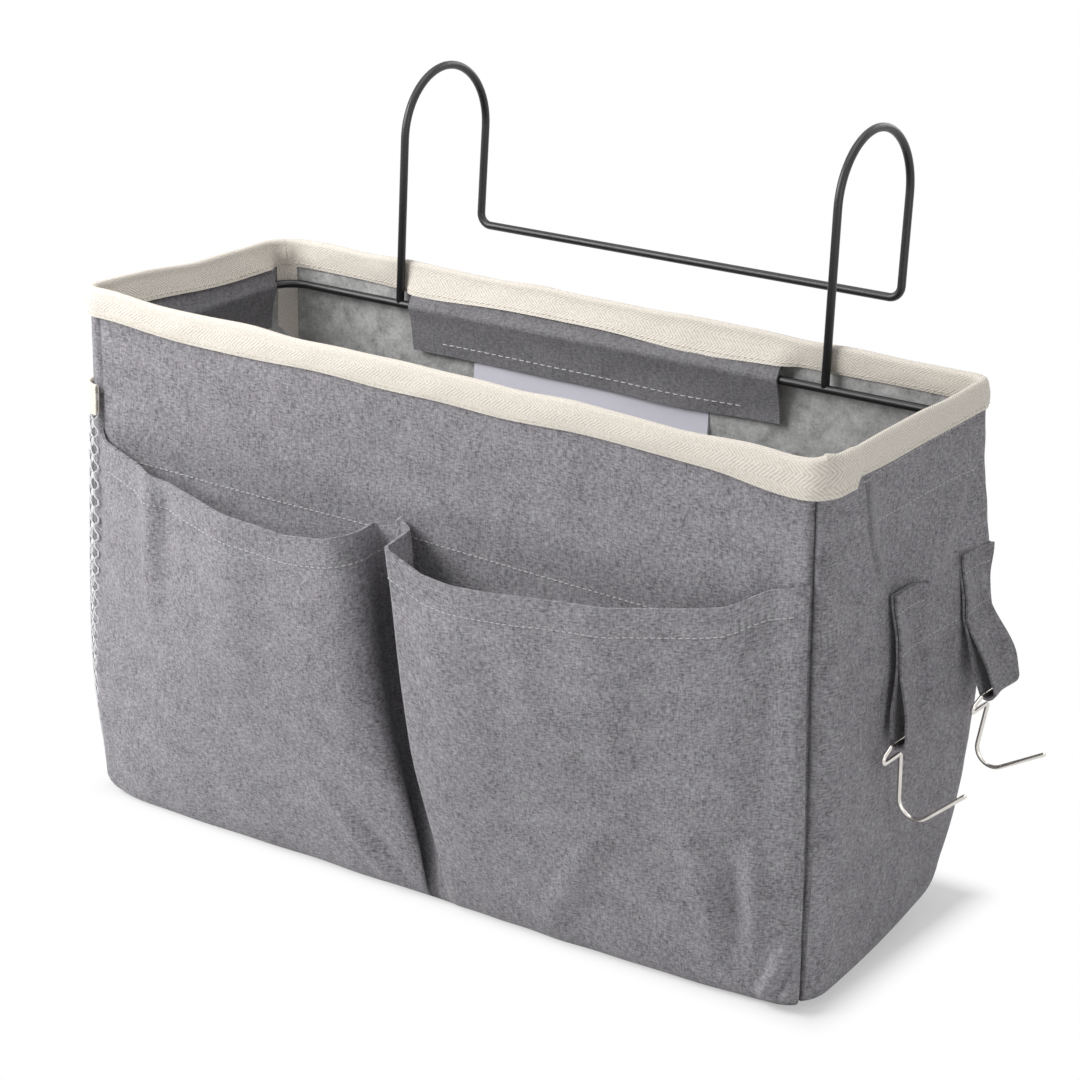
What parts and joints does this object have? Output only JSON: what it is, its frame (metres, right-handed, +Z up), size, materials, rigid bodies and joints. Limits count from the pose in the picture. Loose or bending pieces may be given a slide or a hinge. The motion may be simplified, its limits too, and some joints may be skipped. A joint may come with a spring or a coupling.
{
  "type": "bedside caddy",
  "caption": "Grey cloth bedside caddy on a black wire hanger, with a pleated double front pocket, a net side pocket, closing flaps and side loops with wire hooks",
  "frame": {"origin": "middle of the underside of the base", "axes": "+X to the right along the long wall, -Y to the front pocket, +Z up; the hanger is at +Y"},
  "size_m": [0.4649, 0.2402, 0.344],
  "materials": {
    "grey_cloth": "woven polyester cloth bonded to felt",
    "cream_tape": "herringbone cotton tape",
    "closure_tape": "hook-and-loop tape",
    "white_net": "knitted polyester net",
    "black_wire": "black coated steel wire",
    "nickel_wire": "bright nickel plated wire",
    "white_card": "smooth white sheet",
    "grey_board": "rigid board"
  },
  "bodies": {
    "caddy": {"front_panel": "grey_cloth", "back_panel": "grey_cloth", "left_panel": "grey_cloth", "right_panel": "grey_cloth", "base_panel": "grey_cloth", "base_board": "grey_board", "rim_binding": "cream_tape", "front_left_seam_tape": "cream_tape", "front_right_seam_tape": "cream_tape", "back_left_seam_tape": "cream_tape", "back_right_seam_tape": "cream_tape", "support_frame": "black_wire", "hanger_wire": "black_wire", "back_wall_loop_tape": "closure_tape", "left_wall_loop_tape": "closure_tape", "right_wall_loop_tape": "closure_tape", "stiffening_card": "white_card", "front_pocket": "grey_cloth", "net_pocket": "white_net", "net_pocket_binding": "cream_tape", "front_loop_tab": "grey_cloth", "rear_loop_tab": "grey_cloth"},
    "back_flap_body": {"back_flap": "grey_cloth", "back_flap_hook_tape": "closure_tape"},
    "left_flap_body": {"left_flap": "grey_cloth", "left_flap_hook_tape": "closure_tape"},
    "right_flap_body": {"right_flap": "grey_cloth", "right_flap_hook_tape": "closure_tape"},
    "front_loop_body": {"front_loop": "grey_cloth"},
    "rear_loop_body": {"rear_loop": "grey_cloth"},
    "front_hook_body": {"front_hook": "nickel_wire"},
    "rear_hook_body": {"rear_hook": "nickel_wire"}
  },
  "joints": [
    {"name": "back_flap_fold", "type": "hinge", "parent": "caddy", "child": "back_flap_body", "pos_m": [0, 0.0663, 0.2353], "axis": [-1, 0, 0], "range_deg": [0, 90]},
    {"name": "left_flap_fold", "type": "hinge", "parent": "caddy", "child": "left_flap_body", "pos_m": [-0.1963, 0, 0.2353], "axis": [0, -1, 0], "range_deg": [0, 90]},
    {"name": "right_flap_fold", "type": "hinge", "parent": "caddy", "child": "right_flap_body", "pos_m": [0.1963, 0, 0.2353], "axis": [0, 1, 0], "range_deg": [0, 90]},
    {"name": "front_loop_swing", "type": "hinge", "parent": "caddy", "child": "front_loop_body", "pos_m": [0.20564, -0.006, 0.147], "axis": [0, -1, 0], "range_deg": [0, 60]},
    {"name": "rear_loop_swing", "type": "hinge", "parent": "caddy", "child": "rear_loop_body", "pos_m": [0.20564, 0.053, 0.147], "axis": [0, -1, 0], "range_deg": [0, 50]},
    {"name": "front_hook_swing", "type": "hinge", "parent": "front_loop_body", "child": "front_hook_body", "pos_m": [0.21107, -0.01336, 0.11273], "axis": [0, -1, 0], "range_deg": [-6, 75]},
    {"name": "rear_hook_swing", "type": "hinge", "parent": "rear_loop_body", "child": "rear_hook_body", "pos_m": [0.21975, 0.0509, 0.1153], "axis": [0, -1, 0], "range_deg": [-7, 75]}
  ]
}
